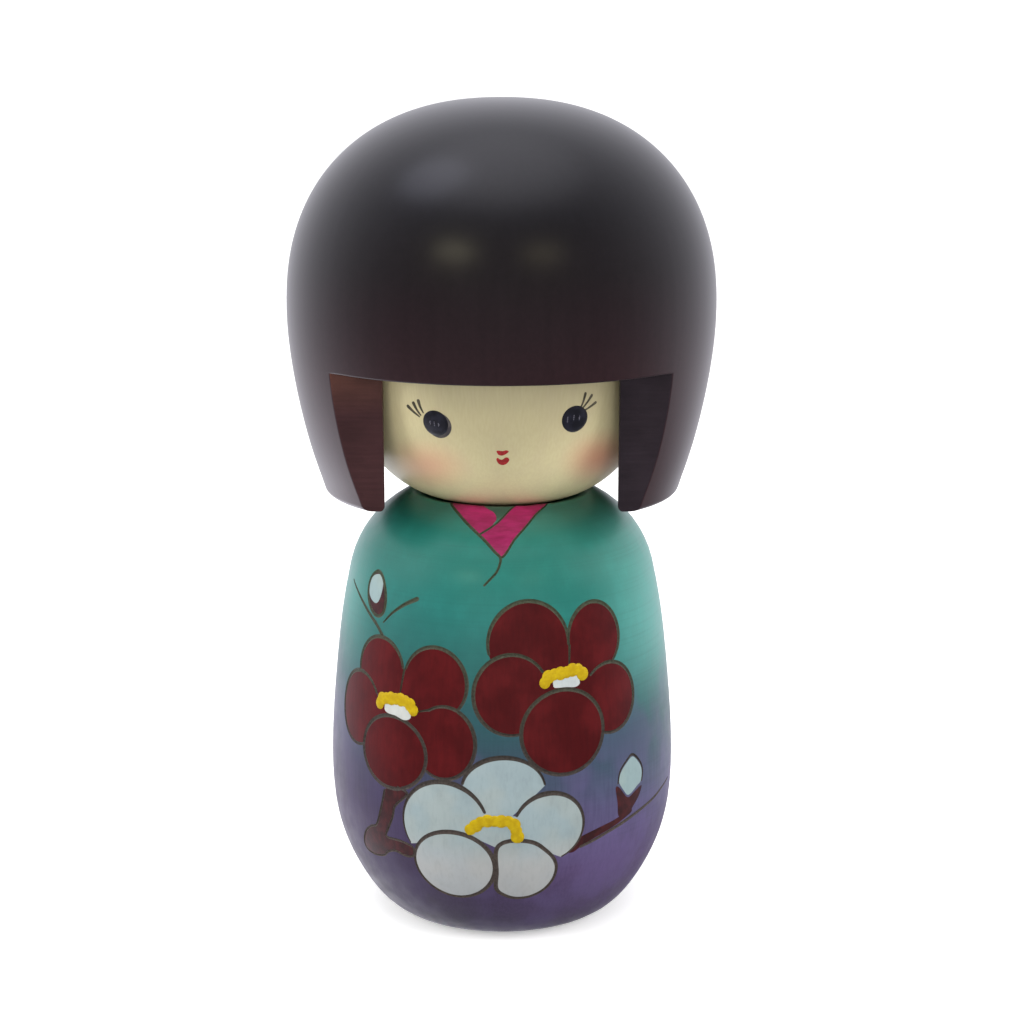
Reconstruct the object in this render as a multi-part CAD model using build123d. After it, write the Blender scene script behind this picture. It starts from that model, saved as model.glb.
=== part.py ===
from build123d import *

import math
import os

# A turned wooden kokeshi doll, in millimetres.
# +Z is up, the face looks along -Y, and the origin is the centre of the flat base.
# Five turnings share the doll's vertical axis: a barrel-shaped body, a face ball that sits on it,
# a bored hair hood over the face ball, and two dowels that pin the three together.
# The hood, the face ball and both dowels are glued into one head, which turns on the neck dowel.

# Driving dimensions
HEIGHT = 152.0
BODY_RADIUS = 32.3
HOOD_RADIUS = 39.3
FACE_RADIUS = 29.44
NECK_DOWEL_DIAMETER = 8.0
CROWN_DOWEL_DIAMETER = 6.0

# Body
BODY_WAIST_Z = 30.0          # height of the body's widest ring
BASE_RADIUS = 19.7
BASE_EDGE_ROUND = 0.7
SHOULDER_RADIUS = 28.4       # where the straight taper turns into the rounded shoulder
SHOULDER_Z = 66.0
CREST_RADIUS = 16.5          # highest ring of the body, round the seat of the head
CREST_Z = 79.6
CREST_ROUND = 0.8
SEAT_RADIUS = 9.0            # flat land that carries the head

# Face ball: two superellipses that meet at its widest ring
FACE_WAIST_Z = 115.0
FACE_DEPTH_BELOW = 36.74
FACE_DEPTH_ABOVE = 22.0
FACE_EXPONENT_BELOW = 2.82
FACE_EXPONENT_ABOVE = 2.3
FACE_FLAT_RADIUS = 8.0       # flats turned at both ends of the ball

# Hair hood
HOOD_WAIST_Z = 114.5
HOOD_DOME_EXPONENT = 2.27
RIM_Z = 80.8
RIM_RADIUS = 32.6
RIM_ROUND = 0.7
BORE_RADIUS = 29.5
BORE_ROOF_GAP = 1.0          # glue space between the face ball and the roof of the bore
FRINGE_Z = 105.7             # lower edge of the fringe
WINDOW_HALF_WIDTH = 20.7
CUT_Y_AT_RIM = -21.6         # the sawn front of the side locks leans back towards the rim
CUT_Y_AT_FRINGE = -24.6

# Joints between the pieces
NECK_DOWEL_LENGTH = 40.0
NECK_DOWEL_IN_BODY = 20.0
CROWN_DOWEL_LENGTH = 16.0
CROWN_DOWEL_IN_BALL = 8.0
DOWEL_CHAMFER = 0.8
HOLE_END_GAP = 1.0           # air left past the end of each dowel
GLUE_GAP = 0.02              # radial gap round a glued dowel
TURNING_GAP = 0.06           # radial gap round the neck dowel where it turns in the body
THRUST_GAP = 0.05            # between the ball's lower flat and the body's seat

# Modelling allowances
ARC_POINTS = 9               # points that guide each superellipse
OVERCUT = 5.0                # how far a cutter runs past the face it opens


def superellipse(radius, depth, waist_z, exponent, end_radius):
    """Points from the widest ring to where the quarter curve has come in to end_radius.

    A positive depth runs upwards from waist_z and a negative one downwards.
    """
    last = math.asin((1 - (end_radius / radius) ** exponent) ** 0.5)
    points = []
    for i in range(ARC_POINTS):
        angle = last * i / (ARC_POINTS - 1)
        r = radius * math.cos(angle) ** (2 / exponent)
        z = waist_z + depth * math.sin(angle) ** (2 / exponent)
        points.append((r, 0, z))
    return points


def flat_z(exponent, depth):
    """Height of the flat at the upper or lower end of the face ball."""
    return FACE_WAIST_Z + depth * (1 - (FACE_FLAT_RADIUS / FACE_RADIUS) ** exponent) ** (1 / exponent)


FACE_LOW_Z = flat_z(FACE_EXPONENT_BELOW, -FACE_DEPTH_BELOW)
FACE_TOP_Z = flat_z(FACE_EXPONENT_ABOVE, FACE_DEPTH_ABOVE)
SEAT_Z = FACE_LOW_Z - THRUST_GAP
NECK_DOWEL_LOW = SEAT_Z - NECK_DOWEL_IN_BODY
CROWN_DOWEL_LOW = FACE_TOP_Z - CROWN_DOWEL_IN_BALL


def turned(*edges):
    """The solid that a half outline in the XZ plane sweeps round the Z axis.

    The outline runs from its first edge's start to its last edge's end, and is closed to the axis.
    """
    start, end = edges[0] @ 0, edges[-1] @ 1
    foot, top = Vector(0, 0, start.Z), Vector(0, 0, end.Z)
    outline = [Line(foot, start), *edges]
    if end.X > 0:
        outline.append(Line(end, top))
    outline.append(Line(top, foot))
    return revolve(make_face(Wire(outline)), axis=Axis.Z)


def cylinder_between(radius, low, high):
    """A cylinder on the Z axis."""
    return Pos(0, 0, low) * Cylinder(radius, high - low, align=(Align.CENTER, Align.CENTER, Align.MIN))


def make_dowel(diameter, low, length):
    """A plain dowel on the Z axis with both ends chamfered."""
    pin = cylinder_between(diameter / 2, low, low + length)
    return chamfer(pin.edges().filter_by(GeomType.CIRCLE), DOWEL_CHAMFER)


def make_body():
    """The barrel: flat base, full belly, straight taper, rounded shoulder, dished seat and neck hole."""
    side = Spline(
        (BASE_RADIUS, 0, 0),
        (26.5, 0, 6.5),
        (31.2, 0, 17.5),
        (BODY_RADIUS, 0, BODY_WAIST_Z),
        (31.2, 0, 47.0),
        (29.4, 0, 61.0),
        (SHOULDER_RADIUS, 0, SHOULDER_Z),
        tangents=[(0.94, 0, 0.33), (-0.2, 0, 0.98)],
    )
    shoulder = TangentArc(side @ 1, (CREST_RADIUS, 0, CREST_Z), tangent=side % 1)
    seat = Spline(
        shoulder @ 1,
        (SEAT_RADIUS, 0, SEAT_Z),
        tangents=[(-0.96, 0, -0.28), (-1, 0, 0)],
    )
    body = turned(side, shoulder, seat)
    base_edge = body.edges().filter_by(GeomType.CIRCLE).sort_by(Axis.Z)[0]
    body = fillet(base_edge, BASE_EDGE_ROUND)
    crest = body.edges().filter_by(GeomType.CIRCLE).sort_by(Axis.Z)[-1]
    body = fillet(crest, CREST_ROUND)
    hole_radius = NECK_DOWEL_DIAMETER / 2 + TURNING_GAP
    return body - cylinder_between(hole_radius, NECK_DOWEL_LOW - HOLE_END_GAP, SEAT_Z + OVERCUT)


def make_face_ball():
    """The head's core: a chin that comes in fast, flat ends, and a blind dowel hole in each end."""
    below = superellipse(FACE_RADIUS, -FACE_DEPTH_BELOW, FACE_WAIST_Z, FACE_EXPONENT_BELOW, FACE_FLAT_RADIUS)
    above = superellipse(FACE_RADIUS, FACE_DEPTH_ABOVE, FACE_WAIST_Z, FACE_EXPONENT_ABOVE, FACE_FLAT_RADIUS)
    chin = Spline(*reversed(below), tangents=[(1, 0, 0.1), (0, 0, 1)])
    crown = Spline(*above, tangents=[(0, 0, 1), (-1, 0, -0.15)])
    ball = turned(chin, crown)
    neck_end = NECK_DOWEL_LOW + NECK_DOWEL_LENGTH + HOLE_END_GAP
    ball -= cylinder_between(NECK_DOWEL_DIAMETER / 2 + GLUE_GAP, FACE_LOW_Z - OVERCUT, neck_end)
    crown_start = CROWN_DOWEL_LOW - HOLE_END_GAP
    return ball - cylinder_between(CROWN_DOWEL_DIAMETER / 2 + GLUE_GAP, crown_start, FACE_TOP_Z + OVERCUT)


def make_hood_bore():
    """The space turned out of the hood: a straight bore with a domed roof."""
    roof = superellipse(
        BORE_RADIUS,
        FACE_DEPTH_ABOVE + BORE_ROOF_GAP,
        FACE_WAIST_Z,
        FACE_EXPONENT_ABOVE,
        FACE_FLAT_RADIUS,
    )
    wall = Line((BORE_RADIUS, 0, RIM_Z - OVERCUT), roof[0])
    return turned(wall, Spline(*roof, tangents=[(0, 0, 1), (-1, 0, -0.15)]))


def make_front_cut():
    """Everything below the fringe that stands before the leaning plane of the sawn lock fronts."""
    far = -2 * HOOD_RADIUS
    low_z = RIM_Z - OVERCUT
    lean = (CUT_Y_AT_FRINGE - CUT_Y_AT_RIM) / (FRINGE_Z - RIM_Z)
    side_view = Polyline(
        (0, far, low_z),
        (0, CUT_Y_AT_RIM - lean * OVERCUT, low_z),
        (0, CUT_Y_AT_FRINGE, FRINGE_Z),
        (0, far, FRINGE_Z),
        close=True,
    )
    return extrude(make_face(side_view), amount=2 * HOOD_RADIUS, dir=(1, 0, 0), both=True)


def make_window_slot():
    """The opening between the two side locks, below the fringe and forward of the axis."""
    low_z = RIM_Z - OVERCUT
    width, depth, height = 2 * WINDOW_HALF_WIDTH, 2 * HOOD_RADIUS, FRINGE_Z - low_z
    return Pos(0, 0, low_z) * Box(width, depth, height, align=(Align.CENTER, Align.MAX, Align.MIN))


def make_hair_hood():
    """A bob-cut helmet: superellipse dome, sides drawn in to the rim, a bore and a sawn front window."""
    dome = superellipse(HOOD_RADIUS, HEIGHT - HOOD_WAIST_Z, HOOD_WAIST_Z, HOOD_DOME_EXPONENT, 0.0)
    crown = Spline(*dome, tangents=[(0, 0, 1), (-1, 0, 0)])
    side = Spline(
        (RIM_RADIUS, 0, RIM_Z),
        (34.5, 0, 86.3),
        (36.8, 0, 94.9),
        (38.5, 0, 104.2),
        dome[0],
        tangents=[(0.27, 0, 0.96), (0, 0, 1)],
    )
    hood = turned(side, crown) - make_hood_bore()
    rim_edges = hood.edges().filter_by(GeomType.CIRCLE).group_by(Axis.Z)[0]
    hood = fillet(rim_edges, RIM_ROUND)
    hole_end = CROWN_DOWEL_LOW + CROWN_DOWEL_LENGTH + HOLE_END_GAP
    hood -= cylinder_between(CROWN_DOWEL_DIAMETER / 2 + GLUE_GAP, FACE_TOP_Z - OVERCUT, hole_end)
    return hood - make_front_cut() - make_window_slot()


def write(name, shape):
    """Writes one piece as parts/NAME.step."""
    shape.label = name
    export_step(shape, f"parts/{name}.step")


os.makedirs("parts", exist_ok=True)
write("body", make_body())
write("neck_dowel", make_dowel(NECK_DOWEL_DIAMETER, NECK_DOWEL_LOW, NECK_DOWEL_LENGTH))
write("face_ball", make_face_ball())
write("crown_dowel", make_dowel(CROWN_DOWEL_DIAMETER, CROWN_DOWEL_LOW, CROWN_DOWEL_LENGTH))
write("hair_hood", make_hair_hood())
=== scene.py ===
import math

import bpy
import numpy as np
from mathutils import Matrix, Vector, kdtree
from mathutils.geometry import delaunay_2d_cdt


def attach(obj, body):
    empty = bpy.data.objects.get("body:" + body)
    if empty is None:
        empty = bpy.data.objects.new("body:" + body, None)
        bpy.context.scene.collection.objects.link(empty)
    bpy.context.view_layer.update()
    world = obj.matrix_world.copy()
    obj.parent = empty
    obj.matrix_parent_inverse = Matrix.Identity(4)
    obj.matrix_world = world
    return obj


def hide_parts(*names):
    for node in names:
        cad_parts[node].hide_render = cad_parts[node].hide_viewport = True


# A turned and painted kokeshi doll. Lengths are millimetres until a mesh is made.
# +Z is up and the doll looks along -Y. A place on a turned surface is written (a, z):
# a is the distance round from the front, to the viewer's right, on the surface's widest ring.

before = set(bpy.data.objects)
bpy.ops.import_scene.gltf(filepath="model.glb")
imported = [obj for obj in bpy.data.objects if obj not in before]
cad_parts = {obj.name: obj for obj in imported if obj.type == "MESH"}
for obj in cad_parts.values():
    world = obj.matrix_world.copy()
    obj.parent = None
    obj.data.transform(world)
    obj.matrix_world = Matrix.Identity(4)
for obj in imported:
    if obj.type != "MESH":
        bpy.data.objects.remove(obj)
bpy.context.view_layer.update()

MM = 0.001
BODY_RADIUS = 32.3
CREST_Z = 80.3
SEAT_RADIUS = 9.0
SEAT_Z = 78.543
NECK_HOLE_RADIUS = 4.06
NECK_HOLE_Z = 57.54

FACE_RADIUS = 29.44
FACE_WAIST_Z = 115.0
FACE_DEPTH_BELOW = 36.74
FACE_DEPTH_ABOVE = 22.0
FACE_EXPONENT_BELOW = 2.82
FACE_EXPONENT_ABOVE = 2.3
FACE_FLAT_RADIUS = 8.0
NECK_SOCKET = (4.02, 99.54)      # radius and far end of the dowel hole in the chin
CROWN_SOCKET = (3.02, 127.65)    # the same for the hole in the crown

HOOD_RADIUS = 39.3
HOOD_WAIST_Z = 114.5
HOOD_TOP_Z = 152.0
HOOD_EXPONENT = 2.27
HOOD_BORE = 29.5
BORE_ROOF_GAP = 1.0
HOOD_HOLE = (3.02, 145.65)       # radius and far end of the dowel hole in the bore's roof
RIM_Z = 80.4
RIM_ROUND = 1.0
FRINGE_Z = 105.7
WINDOW_HALF_WIDTH = 20.7
CUT_Y = (-21.6, -24.6)           # sawn lock fronts at the rim and at the fringe
CORNER_ROUND = 0.3

GROOVE_DEPTH = 0.2
PAINT_LIFT = 0.05
PAINT_SINK = 0.04                # how far the unseen underside of paint is below the surface
RING_POINTS = 216


# ---------------------------------------------------------------- curves

def spline(points, start, end, count):
    """Points along the smooth curve through the given ones, with its first and last directions."""
    knots = np.array(points, float)
    chords = np.linalg.norm(np.diff(knots, axis=0), axis=1)
    matrix = np.eye(len(knots))
    target = np.zeros_like(knots)
    target[0] = np.array(start) / np.linalg.norm(start)
    target[-1] = np.array(end) / np.linalg.norm(end)
    for i in range(1, len(knots) - 1):
        before, after = chords[i - 1], chords[i]
        matrix[i, i - 1:i + 2] = after, 2 * (before + after), before
        rise_before = (knots[i] - knots[i - 1]) / before
        rise_after = (knots[i + 1] - knots[i]) / after
        target[i] = 3 * (after * rise_before + before * rise_after)
    slopes = np.linalg.solve(matrix, target)
    ends = np.concatenate([[0.0], np.cumsum(chords)])
    result = []
    for t in np.linspace(0, ends[-1], count):
        i = min(int(np.searchsorted(ends, t, side="right")) - 1, len(chords) - 1)
        h = chords[i]
        x = (t - ends[i]) / h
        start_part = (1 + 2 * x) * (1 - x) ** 2 * knots[i] + x * (1 - x) ** 2 * h * slopes[i]
        end_part = x * x * (3 - 2 * x) * knots[i + 1] + x * x * (x - 1) * h * slopes[i + 1]
        result.append(start_part + end_part)
    return np.array(result)


def tangent_arc(start, direction, end, count):
    """The arc that leaves start along direction and arrives at end."""
    start, end = np.array(start, float), np.array(end, float)
    along = np.array(direction) / np.linalg.norm(direction)
    side = np.array([-along[1], along[0]])
    chord = end - start
    radius = chord @ chord / (2 * chord @ side)
    centre = start + radius * side
    first, last = start - centre, end - centre
    angles = np.linspace(math.atan2(first[1], first[0]), math.atan2(last[1], last[0]), count)
    return centre + abs(radius) * np.column_stack([np.cos(angles), np.sin(angles)])


def superellipse(radius, depth, waist_z, exponent, end_radius, count):
    """From the widest ring to where the quarter curve has come in to end_radius."""
    last = math.asin((1 - (end_radius / radius) ** exponent) ** 0.5)
    angles = np.linspace(0, last, count)
    r = radius * np.clip(np.cos(angles), 0, 1) ** (2 / exponent)
    z = waist_z + depth * np.sin(angles) ** (2 / exponent)
    return np.column_stack([r, z])


def bend(start, corner, end, count):
    """A short rounding from start to end that is drawn towards the corner."""
    t = np.linspace(0, 1, count)[:, None]
    start, corner, end = np.array(start), np.array(corner), np.array(end)
    return (1 - t) ** 2 * start + 2 * t * (1 - t) * corner + t * t * end


def drawn(points, closed=False, steps=6):
    """A hand-drawn line: the smooth curve that passes through the points."""
    p = np.array(points, float)
    if closed:
        p = np.vstack([p[-1:], p, p[:2]])
    else:
        p = np.vstack([2 * p[0] - p[1], p, 2 * p[-1] - p[-2]])
    t = np.linspace(0, 1, steps, endpoint=False)[:, None]
    pieces = []
    for a, b, c, d in zip(p, p[1:], p[2:], p[3:]):
        cubic = (3 * b - a - 3 * c + d) * t ** 3 + (2 * a - 5 * b + 4 * c - d) * t ** 2
        pieces.append(0.5 * (2 * b + (c - a) * t + cubic))
    if not closed:
        pieces.append(p[-2:-1])
    return np.vstack(pieces)


def oval(centre, halves, start=0.0, end=360.0):
    """Points anticlockwise round an oval, between two angles in degrees."""
    count = max(4, int((end - start) / 5))
    angles = np.radians(np.linspace(start, end, count, endpoint=end - start < 360))
    return np.array(centre) + np.column_stack([np.cos(angles) * halves[0], np.sin(angles) * halves[1]])


def resampled(line, pitch):
    """The same line with points about pitch apart."""
    steps = np.linalg.norm(np.diff(line, axis=0), axis=1)
    along = np.concatenate([[0.0], np.cumsum(steps)])
    at = np.linspace(0, along[-1], max(2, int(round(along[-1] / pitch)) + 1))
    return np.column_stack([np.interp(at, along, line[:, k]) for k in range(line.shape[1])])


def closed_line(points):
    """A loop as an open line whose last point meets its first."""
    return np.vstack([points, points[:1]])


def smoothstep(low, high, x):
    """0 below low and 1 above high, with a smooth rise between."""
    t = np.clip((x - low) / (high - low), 0, 1)
    return t * t * (3 - 2 * t)


# ---------------------------------------------------------------- turned surfaces

class Turned:
    """A surface turned round Z. Its flat map has a across and s, the distance along the outline, up.
    Past its highest ring, a place's z counts on along the outline."""

    def __init__(self, outline, reference):
        self.outline = np.array(outline)
        self.reference = reference
        steps = np.linalg.norm(np.diff(self.outline, axis=0), axis=1)
        self.along = np.concatenate([[0.0], np.cumsum(steps)])
        slope = np.gradient(self.outline, self.along, axis=0)
        self.slope = slope / np.linalg.norm(slope, axis=1)[:, None]
        top = int(np.argmax(self.outline[:, 1]))
        past_top = self.outline[top, 1] + self.along - self.along[top]
        self.level = np.where(np.arange(len(self.along)) <= top, self.outline[:, 1], past_top)

    def lay(self, places):
        """(a, z) places as (a, s) map points."""
        places = np.array(places, float)
        s = np.interp(places[:, 1], self.level, self.along)
        return np.column_stack([places[:, 0], s])

    def radius(self, s):
        return np.interp(s, self.along, self.outline[:, 0])

    def normals(self, flat):
        angle = flat[:, 0] / self.reference
        dr = np.interp(flat[:, 1], self.along, self.slope[:, 0])
        dz = np.interp(flat[:, 1], self.along, self.slope[:, 1])
        return np.column_stack([dz * np.sin(angle), -dz * np.cos(angle), -dr])

    def points(self, flat, lift=0.0):
        """Map points in space, raised by lift along the surface's normal."""
        angle = flat[:, 0] / self.reference
        r = self.radius(flat[:, 1])
        z = np.interp(flat[:, 1], self.along, self.outline[:, 1])
        on = np.column_stack([r * np.sin(angle), -r * np.cos(angle), z])
        return on + self.normals(flat) * np.reshape(lift, (-1, 1))

    def stroke(self, line, halves):
        """The closed outline of a brush or knife stroke along a map line, with round ends."""
        line = resampled(line, 0.4)
        half = np.interp(np.linspace(0, 1, len(line)), np.linspace(0, 1, len(halves)), halves)
        squeeze = self.radius(line[:, 1]) / self.reference
        true = np.gradient(line, axis=0) * np.column_stack([squeeze, np.ones(len(line))])
        true /= np.linalg.norm(true, axis=1)[:, None]
        side = np.column_stack([-true[:, 1] / squeeze, true[:, 0]]) * half[:, None]
        ahead = true * half[:, None] / np.column_stack([squeeze, np.ones(len(line))])
        turn = np.radians([45, 90, 135])
        nose = [line[-1] - side[-1] * math.cos(t) + ahead[-1] * math.sin(t) for t in turn]
        tail = [line[0] + side[0] * math.cos(t) - ahead[0] * math.sin(t) for t in turn]
        return np.vstack([line - side, nose, (line + side)[::-1], tail])


def inside(points, outline):
    """For each map point, whether the closed outline goes round it."""
    x, y = points[:, 0], points[:, 1]
    result = np.zeros(len(points), bool)
    for (ax, ay), (bx, by) in zip(outline, np.roll(outline, -1, axis=0)):
        if ay != by:
            crosses = (ay > y) != (by > y)
            result ^= crosses & (x < (bx - ax) * (y - ay) / (by - ay) + ax)
    return result


def lattice(low, high, pitch):
    """A triangular lattice of map points between two corners."""
    rows = []
    for k, y in enumerate(np.arange(low[1], high[1], pitch * 0.87)):
        x = np.arange(low[0] + (k % 2) * pitch / 2, high[0], pitch)
        rows.append(np.column_stack([x, np.full(len(x), y)]))
    return np.vstack(rows)


def apart_from(loose, fixed, gap):
    """The loose points that stay more than gap away from every fixed point."""
    tree = kdtree.KDTree(len(fixed))
    for i, p in enumerate(fixed):
        tree.insert((p[0], p[1], 0.0), i)
    tree.balance()
    return np.array([p for p in loose if tree.find((p[0], p[1], 0.0))[2] > gap])


def triangulate(loops, lines, loose):
    """Triangles over all the points, with every loop and line running along their edges."""
    points, edges = [], []
    for line, closed in [(loop, True) for loop in loops] + [(line, False) for line in lines]:
        first, count = len(points), len(line)
        points.extend(line)
        edges.extend((first + i, first + i + 1) for i in range(count - 1))
        if closed:
            edges.append((first + count - 1, first))
    points.extend(loose)
    found = delaunay_2d_cdt([Vector(p) for p in points], edges, [], 0, 1e-3)
    return np.array([v[:] for v in found[0]]), np.array([f[:] for f in found[2]])


# ---------------------------------------------------------------- meshes

def make_piece(name, points, faces, materials, body, stands_for=None, picks=None,
               normals=None, exact=None, sharp_angle=40.0):
    """One piece of the doll. Picks number each face's material, and faces marked exact are shaded
    with the given normals of their points."""
    mesh = bpy.data.meshes.new(name)
    mesh.from_pydata((np.array(points) * MM).tolist(), [], [list(map(int, f)) for f in faces])
    for material in materials:
        mesh.materials.append(material)
    if picks is not None:
        mesh.polygons.foreach_set("material_index", np.array(picks, np.int32))
    mesh.polygons.foreach_set("use_smooth", [True] * len(mesh.polygons))
    mesh.set_sharp_from_angle(angle=math.radians(sharp_angle))
    if exact is not None:
        set_exact_normals(mesh, picks, normals, exact)
    mesh.validate()
    piece = bpy.data.objects.new(name, mesh)
    bpy.context.scene.collection.objects.link(piece)
    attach(piece, body)
    if stands_for:
        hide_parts(stands_for)
    return piece


def set_exact_normals(mesh, picks, normals, exact):
    """Keeps the lips of carved lines crisp, and shades the exact faces by the true surface."""
    if picks is not None:
        owners = {}
        for polygon, pick in zip(mesh.polygons, picks):
            for key in polygon.edge_keys:
                owners.setdefault(key, set()).add(pick)
        for edge in mesh.edges:
            if len(owners.get(edge.key, ())) > 1:
                edge.use_edge_sharp = True
    corner_point = np.zeros(len(mesh.loops), np.int32)
    mesh.loops.foreach_get("vertex_index", corner_point)
    corners = np.zeros((len(mesh.loops), 3))
    sides = np.array([p.loop_total for p in mesh.polygons])
    chosen = np.repeat(np.array(exact, bool), sides)
    corners[chosen] = normals[corner_point[chosen]]
    mesh.normals_split_custom_set(corners.tolist())


def film(name, surface, flat, triangles, material, body, lift=PAINT_LIFT, sink=PAINT_SINK):
    """A coat of paint: a thin closed shell over some map triangles, lower at its edge.
    The lift is a height, or a function that gives the heights at map points."""
    used, faces = np.unique(triangles, return_inverse=True)
    faces = faces.reshape(-1, 3)
    flat = flat[used]
    edges = {edge: None for a, b, c in faces for edge in ((a, b), (b, c), (c, a))}
    rim = [(a, b) for a, b in edges if (b, a) not in edges]
    even = np.isscalar(lift)
    height = np.full(len(used), lift, float) if even else lift(flat)
    for a, _ in rim:
        height[a] = min(height[a], PAINT_LIFT * 0.4)
    count = len(used)
    points = np.vstack([surface.points(flat, height), surface.points(flat, -sink)])
    shell = list(faces) + [(c + count, b + count, a + count) for a, b, c in faces]
    shell += [(b, a, a + count, b + count) for a, b in rim]
    normals = np.vstack([surface.normals(flat)] * 2) if even else None
    exact = [i < len(faces) for i in range(len(shell))] if even else None
    return make_piece(name, points, shell, [material], body, normals=normals, exact=exact)


def drops(middles, halves, low, height):
    """A film's lift for drops of paint that stand highest at their middles."""
    def height_at(flat):
        away = (((flat[:, None] - np.array(middles)) / halves) ** 2).sum(2).min(1)
        return low + height * np.sqrt(np.clip(1 - away, 0, 1))

    return height_at


def add_points(points, more):
    """Adds more points to the list, and gives their numbers."""
    start = len(points)
    points.extend(more)
    return list(range(start, len(points)))


def turned_rings(points, outline):
    """Adds a ring of points for each (r, z) of an outline, running anticlockwise seen from above."""
    angles = np.arange(RING_POINTS) * 2 * math.pi / RING_POINTS - math.pi
    rings = []
    for r, z in outline:
        ring = np.column_stack([r * np.sin(angles), -r * np.cos(angles), np.full(RING_POINTS, z)])
        rings.append(add_points(points, ring))
    return rings


def bridge(lower, upper, flip=False):
    """Quads between two rings, facing outwards where both run anticlockwise; flip turns them round."""
    quads = list(zip(lower, lower[1:] + lower[:1], upper[1:] + upper[:1], upper))
    return [quad[::-1] for quad in quads] if flip else quads


def joined(rings, flip=False):
    """Quads from each ring to the next."""
    return [quad for lower, upper in zip(rings, rings[1:]) for quad in bridge(lower, upper, flip)]


def close(points, ring, z, flip=False):
    """Triangles between a ring and a new point on the axis."""
    centre, = add_points(points, [(0.0, 0.0, z)])
    triangles = [(a, b, centre) for a, b in zip(ring, ring[1:] + ring[:1])]
    return [triangle[::-1] for triangle in triangles] if flip else triangles


# ---------------------------------------------------------------- materials

WHITE_LIGHT = (1.0, 1.0, 1.0, 1.0)


def rgb(red, green, blue):
    """A colour as seen on screen, 0 to 255, as the linear values shaders use."""
    values = [v / 255 for v in (red, green, blue)]
    return tuple(v / 12.92 if v <= 0.04045 else ((v + 0.055) / 1.055) ** 2.4 for v in values) + (1.0,)


class Nodes:
    """The node tree of a material or a world while it is being built."""

    def __init__(self, owner):
        owner.use_nodes = True
        self.tree = owner.node_tree
        self.tree.nodes.clear()

    def add(self, kind, settings=None, **inputs):
        """A new node. In the name of an input an underscore stands for a space."""
        node = self.tree.nodes.new("ShaderNode" + kind)
        for key, value in (settings or {}).items():
            setattr(node, key, value)
        for key, value in inputs.items():
            self.feed(node.inputs[key.replace("_", " ")], value)
        return node

    def feed(self, socket, value):
        """Links another node's output to the socket, or sets the socket's own value."""
        if isinstance(value, bpy.types.NodeSocket):
            self.tree.links.new(value, socket)
        else:
            socket.default_value = value

    def calculate(self, operation, *values):
        node = self.add("Math", {"operation": operation})
        for socket, value in zip(node.inputs, values):
            self.feed(socket, value)
        return node.outputs["Value"]

    def times(self, a, b):
        return self.calculate("MULTIPLY", a, b)

    def ease(self, value, low, high, to_low=0.0, to_high=1.0, kind="SMOOTHSTEP"):
        """Maps low..high to to_low..to_high, smoothly or, when the kind is LINEAR, evenly."""
        node = self.add("MapRange", {"interpolation_type": kind}, Value=value, From_Min=low,
                        From_Max=high, To_Min=to_low, To_Max=to_high)
        return node.outputs["Result"]

    def shader_mix(self, factor, first, second):
        node = self.add("MixShader", Fac=factor)
        self.feed(node.inputs[1], first)
        self.feed(node.inputs[2], second)
        return node.outputs["Shader"]


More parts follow.
